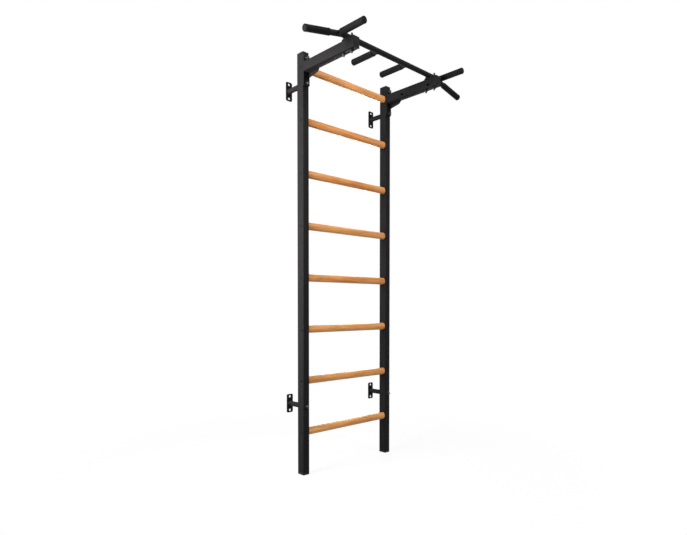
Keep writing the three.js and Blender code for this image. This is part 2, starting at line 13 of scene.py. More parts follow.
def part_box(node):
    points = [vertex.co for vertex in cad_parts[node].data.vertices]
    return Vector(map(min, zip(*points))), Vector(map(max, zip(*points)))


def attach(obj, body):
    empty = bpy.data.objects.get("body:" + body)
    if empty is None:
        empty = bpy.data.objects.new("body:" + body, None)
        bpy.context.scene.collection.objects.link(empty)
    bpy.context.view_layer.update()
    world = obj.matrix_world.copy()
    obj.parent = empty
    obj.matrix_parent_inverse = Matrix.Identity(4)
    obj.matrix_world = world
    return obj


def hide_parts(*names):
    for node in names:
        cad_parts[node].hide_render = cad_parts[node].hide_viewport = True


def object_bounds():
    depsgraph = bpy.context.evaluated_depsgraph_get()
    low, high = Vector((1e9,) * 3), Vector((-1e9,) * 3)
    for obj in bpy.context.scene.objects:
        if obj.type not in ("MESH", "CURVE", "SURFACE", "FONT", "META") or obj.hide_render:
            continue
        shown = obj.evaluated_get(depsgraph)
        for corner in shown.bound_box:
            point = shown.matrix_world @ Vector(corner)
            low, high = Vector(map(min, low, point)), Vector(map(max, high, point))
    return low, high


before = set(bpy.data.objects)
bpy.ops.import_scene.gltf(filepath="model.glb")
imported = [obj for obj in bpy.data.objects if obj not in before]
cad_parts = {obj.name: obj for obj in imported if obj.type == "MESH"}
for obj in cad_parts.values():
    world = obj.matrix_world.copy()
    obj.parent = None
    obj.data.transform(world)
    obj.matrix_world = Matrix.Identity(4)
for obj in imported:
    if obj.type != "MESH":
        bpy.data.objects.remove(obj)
cad_low, cad_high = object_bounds()

MM = 0.001
SIDES = {"left": -1, "right": 1}
FRONT = Vector((0, -1, 0))
UP = Vector((0, 0, 1))
BODY = "root"

# Sizes of the pull-up bar that the boxes of its nodes don't give
BAR_BEND_X = 352.5 * MM
BAR_BEND_RADIUS = 60 * MM
BAR_DROP = math.radians(12.3)

# Sizes of brackets and saddles
PLATE_THICKNESS = 4 * MM
STUB_RADIUS = 13.5 * MM
CRADLE_WIDTH = 28 * MM

# Fasteners
THREAD = 10 * MM
THREAD_PITCH = 1.5 * MM
NUT_ACROSS_FLATS = 17 * MM
WASHER_DIAMETER = 20 * MM
WASHER_THICKNESS = 1.8 * MM
WASHER_EDGE = 0.3 * MM
DOME_DIAMETER = 15 * MM
HEX_HEIGHT = 8 * MM
HEX_CHAMFER = math.radians(30)
HEX_FACE_SHARE = 0.985
BORE_CHAMFER = 0.6 * MM
BORE_CHAMFER_DEPTH = 0.7 * MM
THREAD_INSIDE = 0.1 * MM
THREAD_DEPTH = 0.55 * MM
THREAD_SEGMENTS = 24
THREAD_STEPS = 6
STUD_THREAD_SHOWN = 26 * MM
STUD_TIP = 0.9 * MM
STUD_TIP_STEP = 1.1 * MM
BOLT_HEAD_HEIGHT = 6.5 * MM
SCREW_HEAD_DIAMETER = 15 * MM
SCREW_HEAD_HEIGHT = 4.4 * MM
SCREW_SOCKET = 5 * MM
SCREW_SOCKET_DEPTH = 3 * MM
SCREW_POINT_DEPTH = 3.6 * MM
SCREW_RIM = 0.6 * MM
SCREW_CROWN_START = 0.7 * MM
SCREW_SHANK_RADIUS = 4 * MM
SCREW_SHANK_SHOWN = 1.5 * MM
SCREW_CROWN_STEPS = 7
SOCKET_CLEARANCE = 1.15
SOCKET_EDGE = 0.3 * MM

# Finish of edges and welds
EDGE_ROUNDING = 0.5 * MM
SADDLE_ROUNDING = 1.0 * MM
PLASTIC_ROUNDING = 1.2 * MM
WELD_DISTANCE = 0.01 * MM
FLATNESS = math.radians(1)
BEAD_RADIUS = 2.2 * MM
SPUR_BEAD_RADIUS = 1.8 * MM
BEAD_RIPPLE = 3 * MM
BEAD_LOW_SHARE = 0.82
BEAD_RIPPLE_SHARE = 0.18
BEAD_UNEVENNESS = 0.04
BEAD_SEGMENTS = 10
SPUR_SEAM_POINTS = 96
BRACKET_SEAM_POINTS = 100
BEAD_STEP = 0.8 * MM
BEAD_SINK = 0.4 * MM
BEAD_LIFT = 0.5 * MM
BEAD_END_GAP = 1 * MM
BEAD_END_SHARES = (0.25, 0.65, 0.9)
SMOOTH_ANGLE = math.radians(38)

# Photograph's frame and camera
IMAGE_WIDTH = 687
IMAGE_HEIGHT = 535
FOCAL_PIXELS = 536.54
PRINCIPAL_ROW = 320.22
SENSOR_WIDTH = 36
CAMERA_PLACE = (-2.10633, -2.31621, 0.89274)
CAMERA_PITCH = math.radians(90 - 1.571)
CAMERA_YAW = math.radians(-43.442)

random.seed(7)


# Node materials

# Places of a Mix node's sockets, which share their names
MIX_FIRST_NUMBER = 2
MIX_SECOND_NUMBER = 3
MIX_FIRST_COLOUR = 6
MIX_SECOND_COLOUR = 7
MIX_NUMBER = 0
MIX_COLOUR = 2

# Cosines between a rounded and a plain normal, on a flat face and on an edge
FLAT_COSINE = 0.995
EDGE_COSINE = 0.90
PATCH_SCALE = 38
PATCH_SOFTNESS = 0.15


class Shading:
    """A material with a Principled shader, and short calls to add nodes to it."""

    def __init__(self, name, **constants):
        self.material = bpy.data.materials.new(name)
        self.material.use_nodes = True
        self.tree = self.material.node_tree
        self.shader = self.tree.nodes["Principled BSDF"]
        for socket, value in constants.items():
            self.shader.inputs[socket.replace("_", " ")].default_value = value
        self.coords = self.tree.nodes.new("ShaderNodeTexCoord").outputs["Object"]

    def put(self, target, value):
        if isinstance(value, bpy.types.NodeSocket):
            self.tree.links.new(value, target)
        else:
            target.default_value = value

    def node(self, kind, inputs=None, **settings):
        made = self.tree.nodes.new(kind)
        for key, value in settings.items():
            setattr(made, key, value)
        for key, value in (inputs or {}).items():
            self.put(made.inputs[key], value)
        return made

    def stretched(self, scale):
        inputs = {"Vector": self.coords, "Scale": scale}
        return self.node("ShaderNodeMapping", inputs).outputs["Vector"]

    def noise(self, scale, detail, vector=None, roughness=0.55, distortion=0.0):
        inputs = {
            "Vector": vector if vector is not None else self.coords,
            "Scale": scale,
            "Detail": detail,
            "Roughness": roughness,
            "Distortion": distortion,
        }
        return self.node("ShaderNodeTexNoise", inputs).outputs["Fac"]

    def ranged(self, value, from_low, from_high, to_low, to_high):
        inputs = {
            "Value": value,
            "From Min": from_low,
            "From Max": from_high,
            "To Min": to_low,
            "To Max": to_high,
        }
        return self.node("ShaderNodeMapRange", inputs).outputs["Result"]

    def math(self, operation, first, second):
        made = self.node("ShaderNodeMath", operation=operation)
        self.put(made.inputs[0], first)
        self.put(made.inputs[1], second)
        return made.outputs["Value"]

    def mixed(self, factor, first, second, blend="MIX"):
        made = self.node("ShaderNodeMix", data_type="RGBA", blend_type=blend)
        self.put(made.inputs["Factor"], factor)
        self.put(made.inputs[MIX_FIRST_COLOUR], first)
        self.put(made.inputs[MIX_SECOND_COLOUR], second)
        return made.outputs[MIX_COLOUR]

    def bump(self, height, strength, distance, normal=None):
        inputs = {"Height": height, "Strength": strength, "Distance": distance}
        made = self.node("ShaderNodeBump", inputs)
        if normal is not None:
            self.put(made.inputs["Normal"], normal)
        return made.outputs["Normal"]

    def worn_edges(self, radius, threshold):
        """1 on convex edges, broken up by noise, 0 elsewhere."""
        rounded = self.node("ShaderNodeBevel", {"Radius": radius}, samples=4).outputs["Normal"]
        plain = self.node("ShaderNodeNewGeometry").outputs["Normal"]
        dot = self.node("ShaderNodeVectorMath", operation="DOT_PRODUCT")
        self.put(dot.inputs[0], rounded)
        self.put(dot.inputs[1], plain)
        edge = self.ranged(dot.outputs["Value"], FLAT_COSINE, EDGE_COSINE, 0.0, 1.0)
        patches = self.ranged(self.noise(PATCH_SCALE, 6), threshold, threshold + PATCH_SOFTNESS, 0.0, 1.0)
        return self.math("MULTIPLY", edge, patches)

    def finish(self, colour, roughness, normal):
        for socket, value in (("Base Color", colour), ("Roughness", roughness), ("Normal", normal)):
            self.put(self.shader.inputs[socket], value)
        return self.material


def grey(level, warmth=0.0):
    """A grey, turned slightly towards red by warmth."""
    return (level * (1 + warmth), level * (1 - warmth / 2), level, 1)


def powder_coat_material():
    coat = Shading("powder_coat", Specular_IOR_Level=0.04)
    cloud = coat.ranged(coat.noise(2.6, 5), 0.3, 0.7, 0.0, 1.0)
    base = coat.mixed(cloud, grey(0.0094, 0.05), grey(0.0128, 0.05))
    speckle = coat.ranged(coat.noise(1500, 2), 0.58, 0.75, 0.0, 0.3)
    base = coat.mixed(speckle, base, grey(0.028, 0.02))
    wear = coat.math("MULTIPLY", coat.worn_edges(1.2 * MM, 0.5), 0.25)
    base = coat.mixed(wear, base, grey(0.045, 0.02))
    rough = coat.ranged(coat.noise(22, 6), 0.25, 0.75, 0.50, 0.66)
    peel = coat.bump(coat.noise(420, 2), 0.10, 0.4 * MM)
    grain = coat.bump(coat.noise(1900, 2), 0.16, 0.15 * MM, peel)
    return coat.finish(base, rough, grain)


BEECH_LIGHT = (0.89, 0.458, 0.175, 1)
BEECH_DARK = (0.73, 0.328, 0.095, 1)
BEECH_FIGURE = (0.51, 0.214, 0.062, 1)
BEECH_STREAK = (0.46, 0.205, 0.062, 1)
BEECH_FLECK = (0.30, 0.125, 0.04, 1)
BEECH_BOARD_TINT = (0.78, 0.46, 0.20, 1)


def beech_material():
    wood = Shading("beech", Specular_IOR_Level=0.18, Coat_Weight=0.05, Coat_Roughness=0.3)
    along = wood.stretched((1.1, 26, 26))
    bands = wood.noise(1.0, 5, along, 0.6, 0.6)
    tone = wood.ranged(bands, 0.3, 0.72, 0.0, 1.0)
    colour = wood.mixed(tone, BEECH_LIGHT, BEECH_DARK)
    figure = wood.noise(1.0, 4, wood.stretched((7, 60, 60)), 0.55, 0.4)
    figure_mask = wood.ranged(figure, 0.46, 0.68, 0.0, 0.7)
    colour = wood.mixed(figure_mask, colour, BEECH_FIGURE)
    streaks = wood.noise(1.0, 3, wood.stretched((3.5, 210, 210)), 0.5)
    streak_mask = wood.ranged(streaks, 0.5, 0.75, 0.0, 0.55)
    colour = wood.mixed(streak_mask, colour, BEECH_STREAK)
    flecks = wood.noise(1.0, 2, wood.stretched((55, 620, 620)), 0.5)
    fleck_mask = wood.ranged(flecks, 0.63, 0.72, 0.0, 0.6)
    colour = wood.mixed(fleck_mask, colour, BEECH_FLECK)
    board = wood.ranged(wood.noise(1.0, 1, wood.stretched((1.6, 3.2, 3.2))), 0.35, 0.65, 0.0, 0.5)
    colour = wood.mixed(board, colour, BEECH_BOARD_TINT, "MULTIPLY")
    rough = wood.ranged(streaks, 0.3, 0.7, 0.34, 0.50)
    normal = wood.bump(flecks, 0.10, 0.10 * MM, wood.bump(streaks, 0.10, 0.2 * MM))
    return wood.finish(colour, rough, normal)


def rubber_material():
    rubber = Shading("grip_rubber", Specular_IOR_Level=0.05)
    dust = rubber.ranged(rubber.noise(30, 6), 0.45, 0.7, 0.0, 1.0)
    base = rubber.mixed(dust, grey(0.0065), grey(0.0105))
    rough = rubber.ranged(rubber.noise(60, 5), 0.3, 0.7, 0.62, 0.8)
    pebble = rubber.node("ShaderNodeTexVoronoi", {"Vector": rubber.coords, "Scale": 620})
    normal = rubber.bump(pebble.outputs["Distance"], 0.22, 0.3 * MM)
    return rubber.finish(base, rough, normal)


def plastic_material():
    plastic = Shading("cap_plastic", Specular_IOR_Level=0.15)
    cloud = plastic.ranged(plastic.noise(50, 5), 0.35, 0.65, 0.0, 1.0)
    base = plastic.mixed(cloud, grey(0.007), grey(0.012))
    wear = plastic.math("MULTIPLY", plastic.worn_edges(1.5 * MM, 0.45), 0.4)
    base = plastic.mixed(wear, base, grey(0.05))
    rough = plastic.ranged(plastic.noise(90, 4), 0.3, 0.7, 0.48, 0.62)
    return plastic.finish(base, rough, plastic.bump(plastic.noise(900, 2), 0.14, 0.2 * MM))


def zinc_material():
    zinc = Shading("zinc", Metallic=1.0)
    cloud = zinc.ranged(zinc.noise(140, 5), 0.35, 0.65, 0.0, 1.0)
    base = zinc.mixed(cloud, grey(0.028), grey(0.055))
    wear = zinc.worn_edges(0.6 * MM, 0.42)
    base = zinc.mixed(wear, base, grey(0.16))
    rough = zinc.ranged(zinc.noise(260, 4), 0.3, 0.7, 0.30, 0.46)
    return zinc.finish(base, rough, zinc.bump(zinc.noise(1600, 3), 0.08, 0.1 * MM))


def screw_material():
    screw = Shading("screw_black", Specular_IOR_Level=0.08)
    cloud = screw.ranged(screw.noise(120, 4), 0.35, 0.65, 0.0, 1.0)
    base = screw.mixed(cloud, grey(0.0050), grey(0.0075))
    wear = screw.math("MULTIPLY", screw.worn_edges(0.5 * MM, 0.5), 0.3)
    base = screw.mixed(wear, base, grey(0.05))
    rough = screw.ranged(screw.noise(260, 4), 0.3, 0.7, 0.40, 0.54)
    return screw.finish(base, rough, screw.bump(screw.noise(1600, 3), 0.08, 0.1 * MM))


POWDER_COAT = powder_coat_material()
BEECH = beech_material()
RUBBER = rubber_material()
PLASTIC = plastic_material()
ZINC = zinc_material()
SCREW_BLACK = screw_material()


# Mesh helpers

def centre_of(node):
    low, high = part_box(node)
    return (low + high) / 2


def add_piece(name, mesh_in_progress, material, replaces=()):
    mesh = bpy.data.meshes.new(name)
    bmesh.ops.recalc_face_normals(mesh_in_progress, faces=mesh_in_progress.faces)
    mesh_in_progress.to_mesh(mesh)
    mesh_in_progress.free()
    for face in mesh.polygons:
        face.use_smooth = True
    mesh.set_sharp_from_angle(angle=SMOOTH_ANGLE)
    mesh.materials.append(material)
    piece = bpy.data.objects.new(name, mesh)
    bpy.context.scene.collection.objects.link(piece)
    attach(piece, BODY)
    if replaces:
        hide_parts(*replaces)


def loft(rings, closed=False):
    """Skins rings of equal length, capped at both ends or closed to a loop; one point makes a pole."""
    bm = bmesh.new()
    made = [[bm.verts.new(point) for point in ring] for ring in rings]
    pairs = list(zip(made, made[1:]))
    if closed:
        pairs.append((made[-1], made[0]))
    for first, second in pairs:
        count = max(len(first), len(second))
        for i in range(count):
            j = (i + 1) % count
            if len(first) == 1:
                corners = (first[0], second[j], second[i])
            elif len(second) == 1:
                corners = (first[i], first[j], second[0])
            else:
                corners = (first[i], first[j], second[j], second[i])
            bm.faces.new(corners)
    if not closed:
        if len(made[0]) > 1:
            bm.faces.new(made[0][::-1])
        if len(made[-1]) > 1:
            bm.faces.new(made[-1])
    return bm


def circle(radius, height, count):
    turn = 2 * math.pi / count
    return [Vector((radius * math.cos(i * turn), radius * math.sin(i * turn), height)) for i in range(count)]


def lathe(profile, count):
    """Turns (radius, height) points about local z."""
    rings = []
    for radius, height in profile:
        rings.append([Vector((0, 0, height))] if radius == 0 else circle(radius, height, count))
    return loft(rings)


def placed(bm, origin, direction):
    """Moves a form made along local z so that it starts at origin and runs along direction."""
    turn = Vector((0, 0, 1)).rotation_difference(Vector(direction)).to_matrix().to_4x4()
    bm.transform(Matrix.Translation(origin) @ turn)
    return bm


def swept(path, radii, count, closed=False):
    """A round section carried along a path of points."""
    rings = []
    last = len(path) - 1
    side = None
    for i, point in enumerate(path):
        if closed:
            tangent = path[(i + 1) % len(path)] - path[i - 1]
        else:
            tangent = path[min(i + 1, last)] - path[max(i - 1, 0)]
        tangent.normalize()
        if side is None:
            side = tangent.orthogonal()
        side = (side - tangent * side.dot(tangent)).normalized()
        other = tangent.cross(side)
        turn = 2 * math.pi / count
        ring = []
        for k in range(count):
            ring.append(point + (side * math.cos(k * turn) + other * math.sin(k * turn)) * radii[i])
        rings.append(ring)
    return loft(rings, closed=closed)


def arc(centre_r, centre_z, radius, start, end, steps):
    """Points of a round stretch of a profile, between two angles in degrees."""
    points = []
    for i in range(steps + 1):
        angle = math.radians(start + (end - start) * i / steps)
        points.append((centre_r + radius * math.cos(angle), centre_z + radius * math.sin(angle)))
    return points


# CAD nodes that stay: edges rounded, material given

def keep_node(node, material, rounding=EDGE_ROUNDING):
    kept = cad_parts[node]
    kept.data.materials.clear()
    kept.data.materials.append(material)
    for face in kept.data.polygons:
        face.use_smooth = True
    weld = kept.modifiers.new("weld", "WELD")
    weld.merge_threshold = WELD_DISTANCE
    flatten = kept.modifiers.new("flatten", "DECIMATE")
    flatten.decimate_type = "DISSOLVE"
    flatten.angle_limit = FLATNESS
    bevel = kept.modifiers.new("bevel", "BEVEL")
    bevel.width = rounding
    bevel.segments = 2
    bevel.limit_method = "ANGLE"
    bevel.angle_limit = SMOOTH_ANGLE
    bevel.harden_normals = True


for side_name in SIDES:
    keep_node(f"{side_name}_upright", POWDER_COAT)
    keep_node(f"{side_name}_arm", POWDER_COAT)
    keep_node(f"{side_name}_saddle", POWDER_COAT, SADDLE_ROUNDING)
    keep_node(f"{side_name}_top_cap", PLASTIC, PLASTIC_ROUNDING)
    keep_node(f"{side_name}_foot", PLASTIC, PLASTIC_ROUNDING)
    for level in ("upper", "lower"):
        keep_node(f"{level}_{side_name}_wall_bracket", POWDER_COAT)


# Rungs

RUNG_NODES = sorted(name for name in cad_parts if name.startswith("rung_"))
RUNG_SEGMENTS = 72
RUNG_END_ROUNDING = 1.6 * MM
RUNG_END_STEPS = 5


def oval(x, middle, half_depth, half_height):
    turn = 2 * math.pi / RUNG_SEGMENTS
    return [
        Vector((x, middle.y + half_depth * math.cos(i * turn), middle.z + half_height * math.sin(i * turn)))
        for i in range(RUNG_SEGMENTS)
    ]


def make_rung(node):
    low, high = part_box(node)
    middle = (low + high) / 2
    half = (high - low) / 2
    rings = []
    for radius, height in arc(-RUNG_END_ROUNDING, 0, RUNG_END_ROUNDING, -90, 0, RUNG_END_STEPS):
        rings.append(oval(low.x + RUNG_END_ROUNDING + height, middle, half.y + radius, half.z + radius))
    for radius, height in arc(-RUNG_END_ROUNDING, 0, RUNG_END_ROUNDING, 0, 90, RUNG_END_STEPS):
        rings.append(oval(high.x - RUNG_END_ROUNDING + height, middle, half.y + radius, half.z + radius))
    add_piece(f"{node}_beech", loft(rings), BEECH, [node])


for rung_node in RUNG_NODES:
    make_rung(rung_node)


# Pull-up bar, spurs and sleeves

TUBE_SEGMENTS = 40
SLEEVE_SEGMENTS = 48
BEND_STEPS = 8
BAR_LOW, BAR_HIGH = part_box("pull_up_bar")
BAR_RADIUS = (BAR_HIGH.y - BAR_LOW.y) / 2
BAR_AXIS = Vector((0, (BAR_LOW.y + BAR_HIGH.y) / 2, BAR_HIGH.z - BAR_RADIUS))
OUTWARD = {name: Vector((s * math.cos(BAR_DROP), 0, -math.sin(BAR_DROP))) for name, s in SIDES.items()}


def bar_half_path(side):
    """Axis from the middle to one end: straight, bent down, straight."""
    setback = BAR_BEND_RADIUS * math.tan(BAR_DROP / 2)
    points = [Vector((0, 0, 0)), Vector((side * (BAR_BEND_X - setback) * 0.5, 0, 0))]
    for i in range(BEND_STEPS + 1):
        turned = BAR_DROP * i / BEND_STEPS
        x = BAR_BEND_X - setback + BAR_BEND_RADIUS * math.sin(turned)
        points.append(Vector((side * x, 0, -BAR_BEND_RADIUS * (1 - math.cos(turned)))))
    end_x = BAR_HIGH.x - BAR_RADIUS * math.sin(BAR_DROP)
    points.append(Vector((side * end_x, 0, -(end_x - BAR_BEND_X) * math.tan(BAR_DROP))))
    return [BAR_AXIS + point for point in points]


def make_bar():
    path = bar_half_path(-1)[::-1] + bar_half_path(1)[1:]
    bar = swept(path, [BAR_RADIUS] * len(path), TUBE_SEGMENTS)
    add_piece("pull_up_bar_tube", bar, POWDER_COAT, ["pull_up_bar"])


def spur_root(kind, side_name):
    """Point on the bar's axis where a spur is welded on, and the spur's direction."""
    middle = centre_of(f"{side_name}_{kind}_spur")
    drop = max(abs(middle.x) - BAR_BEND_X, 0) * math.tan(BAR_DROP)
    root = Vector((middle.x, BAR_AXIS.y, BAR_AXIS.z - drop))
    return root, Vector((0, math.copysign(1, middle.y - BAR_AXIS.y), 0))


def make_spur(kind, side_name):
    node = f"{side_name}_{kind}_spur"
    root, direction = spur_root(kind, side_name)
    low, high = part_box(node)
    reach = max(abs(low.y - root.y), abs(high.y - root.y))
    tube = lathe([(0, 0), (BAR_RADIUS, 0), (BAR_RADIUS, reach), (0, reach)], TUBE_SEGMENTS)
    add_piece(f"{node}_tube", placed(tube, root, direction), POWDER_COAT, [node])


SLEEVE_ROUNDING = 5 * MM
SLEEVE_LIP = 0.9 * MM
SLEEVE_START = 0.3 * MM
COLLAR_END = 3.4 * MM
COLLAR_STEP = 0.8 * MM
RIM_STEP = 2 * MM
RIM_LENGTH = 4 * MM
VENT_RADIUS = 3 * MM
VENT_FLOOR_RADIUS = 2.4 * MM
VENT_DEPTH = 0.5 * MM
SLEEVE_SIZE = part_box("left_inner_sleeve")[1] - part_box("left_inner_sleeve")[0]
SLEEVE_RADIUS = SLEEVE_SIZE.z / 2
SLEEVE_LENGTH = SLEEVE_SIZE.y


def make_sleeve(node, tip, direction):
    """A grip with a thicker collar and rim, a rounded end and a shallow vent mark."""
    body = SLEEVE_RADIUS - SLEEVE_LIP * 0.5
    length = SLEEVE_LENGTH
    rounding_start = length - SLEEVE_ROUNDING
    profile = [(BAR_RADIUS, SLEEVE_START)]
    profile += arc(SLEEVE_RADIUS - SLEEVE_LIP, SLEEVE_LIP, SLEEVE_LIP, -90, 0, 4)
    profile += [(SLEEVE_RADIUS, COLLAR_END), (body, COLLAR_END + COLLAR_STEP), (body, length * 0.5)]
    profile += [(body, rounding_start - RIM_LENGTH - RIM_STEP), (SLEEVE_RADIUS, rounding_start - RIM_LENGTH)]
    profile += arc(SLEEVE_RADIUS - SLEEVE_ROUNDING, rounding_start, SLEEVE_ROUNDING, 0, 80, 7)
    profile += [(SLEEVE_RADIUS - SLEEVE_ROUNDING, length), (VENT_RADIUS, length)]
    profile += [(VENT_FLOOR_RADIUS, length - VENT_DEPTH), (0, length - VENT_DEPTH)]
    start = tip - direction * length
    sleeve = placed(lathe(profile, SLEEVE_SEGMENTS), start, direction)
    add_piece(f"{node}_grip", sleeve, RUBBER, [node])


def outer_tip(side_name):
    """End of an outer grip, on the axis of the bar's bent end."""
    side = SIDES[side_name]
    low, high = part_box(f"{side_name}_outer_sleeve")
    reach = max(abs(low.x), abs(high.x)) - (SLEEVE_RADIUS - SLEEVE_ROUNDING) * math.sin(BAR_DROP)
    return Vector((side * reach, BAR_AXIS.y, BAR_AXIS.z - (reach - BAR_BEND_X) * math.tan(BAR_DROP)))


make_bar()
for side_name in SIDES:
    for kind in ("forward", "inner"):
        make_spur(kind, side_name)
        sleeve_node = f"{side_name}_{kind}_sleeve"
        sleeve_low, sleeve_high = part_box(sleeve_node)
        root, direction = spur_root(kind, side_name)
        tip_y = sleeve_low.y if direction.y < 0 else sleeve_high.y
        make_sleeve(sleeve_node, Vector((root.x, tip_y, root.z)), direction)
    make_sleeve(f"{side_name}_outer_sleeve", outer_tip(side_name), OUTWARD[side_name])


# Fasteners

HEX_SEGMENTS = 48


def hex_ring(height, chamfer=0):
    """A hexagon of many points; chamfer 1 lifts its corners, -1 lowers them and 0 keeps it flat."""
    apothem = NUT_ACROSS_FLATS / 2
    ring = []
    for i in range(HEX_SEGMENTS):
        angle = 2 * math.pi * i / HEX_SEGMENTS
        folded = (angle % (math.pi / 3)) - math.pi / 6
        radius = apothem / math.cos(folded)
        rise = height + chamfer * (radius - apothem) * math.tan(HEX_CHAMFER)
        ring.append(Vector((radius * math.cos(angle), radius * math.sin(angle), rise)))
    return ring


def hex_body(bottom, top):
    """Rings of a hexagon with the usual chamfer curve at both faces."""
    apothem = NUT_ACROSS_FLATS / 2 * HEX_FACE_SHARE
    return [
        circle(apothem, bottom, HEX_SEGMENTS),
        hex_ring(bottom, 1),
        hex_ring(top, -1),
        circle(apothem, top, HEX_SEGMENTS),
    ]


def make_washer(name, seat, direction):
    bore = THREAD / 2
    outer = WASHER_DIAMETER / 2
    rings = [
        circle(bore, 0, HEX_SEGMENTS),
        circle(outer - WASHER_EDGE, 0, HEX_SEGMENTS),
        circle(outer, WASHER_EDGE, HEX_SEGMENTS),
        circle(outer, WASHER_THICKNESS - WASHER_EDGE, HEX_SEGMENTS),
        circle(outer - WASHER_EDGE, WASHER_THICKNESS, HEX_SEGMENTS),
        circle(bore, WASHER_THICKNESS, HEX_SEGMENTS),
    ]
    add_piece(name, placed(loft(rings, closed=True), seat, direction), ZINC)


def make_nut(node, seat, direction, height):
    bore = THREAD / 2
    rings = [circle(bore + BORE_CHAMFER, 0, HEX_SEGMENTS), *hex_body(0, height)]
    rings.append(circle(bore + BORE_CHAMFER, height, HEX_SEGMENTS))
    rings.append(circle(bore - THREAD_INSIDE, height - BORE_CHAMFER_DEPTH, HEX_SEGMENTS))
    rings.append(circle(bore - THREAD_INSIDE, BORE_CHAMFER_DEPTH, HEX_SEGMENTS))
    nut = placed(loft(rings, closed=True), seat, direction)
    add_piece(f"{node}_hex", nut, ZINC, [node])


def make_dome_nut(node, seat, direction, height):
    radius = DOME_DIAMETER / 2
    rings = [circle(THREAD / 2, 0, HEX_SEGMENTS), *hex_body(0, HEX_HEIGHT)]
    rings.append(circle(radius, HEX_HEIGHT, HEX_SEGMENTS))
    for r, z in arc(0, height - radius, radius, 0, 80, 8):
        rings.append(circle(r, z, HEX_SEGMENTS))
    rings.append([Vector((0, 0, height))])
    add_piece(f"{node}_dome", placed(loft(rings), seat, direction), ZINC, [node])


def thread_rings(start, end):
    """Rings whose radius follows a helical thread."""
    steps = max(int((end - start) / (THREAD_PITCH / THREAD_STEPS)), 1)
    rings = []
    for i in range(steps + 1):
        z = start + (end - start) * i / steps
        ring = []
        for k in range(THREAD_SEGMENTS):
            phase = (z / THREAD_PITCH + k / THREAD_SEGMENTS) % 1.0
            radius = THREAD / 2 - THREAD_DEPTH * abs(2 * phase - 1)
            angle = 2 * math.pi * k / THREAD_SEGMENTS
            ring.append(Vector((radius * math.cos(angle), radius * math.sin(angle), z)))
        rings.append(ring)
    return rings


def make_stud(node):
    low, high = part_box(node)
    length = high.z - low.z
    tip_radius = THREAD / 2 - STUD_TIP_STEP
    rings = [circle(tip_radius, 0, THREAD_SEGMENTS)]
    rings += thread_rings(STUD_TIP, STUD_THREAD_SHOWN)
    rings += thread_rings(length - STUD_THREAD_SHOWN, length - STUD_TIP)
    rings.append(circle(tip_radius, length, THREAD_SEGMENTS))
    middle = (low + high) / 2
    foot = Vector((middle.x, middle.y, low.z))
    add_piece(f"{node}_thread", placed(loft(rings), foot, UP), ZINC, [node])


def make_flange_bolt(node):
    low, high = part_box(node)
    middle = (low + high) / 2
    seat = Vector((middle.x, high.y - BOLT_HEAD_HEIGHT, middle.z))
    shank = high.y - BOLT_HEAD_HEIGHT - low.y
    rings = [circle(THREAD / 2, -shank, HEX_SEGMENTS), circle(THREAD / 2, 0, HEX_SEGMENTS)]
    rings += hex_body(0, BOLT_HEAD_HEIGHT)
    rings.append([Vector((0, 0, BOLT_HEAD_HEIGHT))])
    add_piece(f"{node}_hex", placed(loft(rings), seat, -FRONT), ZINC, [node])


def make_rung_screw(name, seat, direction):
    """Button head with a hexagon socket."""
    radius = SCREW_HEAD_DIAMETER / 2
    sphere = (radius ** 2 + SCREW_HEAD_HEIGHT ** 2) / (2 * SCREW_HEAD_HEIGHT)
    mouth = SCREW_SOCKET / math.sqrt(3) * SOCKET_CLEARANCE
    rings = [
        circle(SCREW_SHANK_RADIUS, -SCREW_SHANK_SHOWN, HEX_SEGMENTS),
        circle(SCREW_SHANK_RADIUS, 0, HEX_SEGMENTS),
        circle(radius, 0, HEX_SEGMENTS),
        circle(radius, SCREW_RIM, HEX_SEGMENTS),
    ]
    for i in range(1, SCREW_CROWN_STEPS + 1):
        r = radius - (radius - mouth) * i / SCREW_CROWN_STEPS
        z = math.sqrt(sphere ** 2 - r ** 2) - (sphere - SCREW_HEAD_HEIGHT)
        rings.append(circle(r, max(z, SCREW_CROWN_START), HEX_SEGMENTS))
    rim = rings[-1][0].z
    scale = SCREW_SOCKET / NUT_ACROSS_FLATS
    for depth in (SOCKET_EDGE, SCREW_SOCKET_DEPTH):
        rings.append([Vector((p.x * scale, p.y * scale, rim - depth)) for p in hex_ring(0)])
    rings.append([Vector((0, 0, rim - SCREW_POINT_DEPTH))])
    add_piece(name, placed(loft(rings), seat, direction), SCREW_BLACK)


for node in sorted(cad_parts):
    low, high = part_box(node)
    middle = (low + high) / 2
    if node.endswith(("_dome_nut", "_flange_nut")):
        seat = Vector((middle.x, high.y, middle.z))
        make_dome_nut(node, seat, FRONT, high.y - low.y)
        make_washer(f"{node}_washer", seat, FRONT)
    elif node.endswith("_upper_nut"):
        seat = Vector((middle.x, middle.y, low.z))
        make_nut(node, seat, UP, high.z - low.z)
        make_washer(f"{node}_washer", seat, UP)
    elif node.endswith("_lower_nut"):
        seat = Vector((middle.x, middle.y, high.z))
        make_nut(node, seat, -UP, high.z - low.z)
        make_washer(f"{node}_washer", seat, -UP)
    elif node.endswith("_stud"):
        make_stud(node)
    elif node.endswith("_flange_bolt"):
        make_flange_bolt(node)

for side_name, side in SIDES.items():
    low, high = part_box(f"{side_name}_upright")
    outer_x = low.x if side < 0 else high.x
    for rung_node in RUNG_NODES:
        middle = centre_of(rung_node)
        seat = Vector((outer_x, middle.y, middle.z))
        make_rung_screw(f"{side_name}_{rung_node}_screw", seat, (side, 0, 0))


# Weld beads

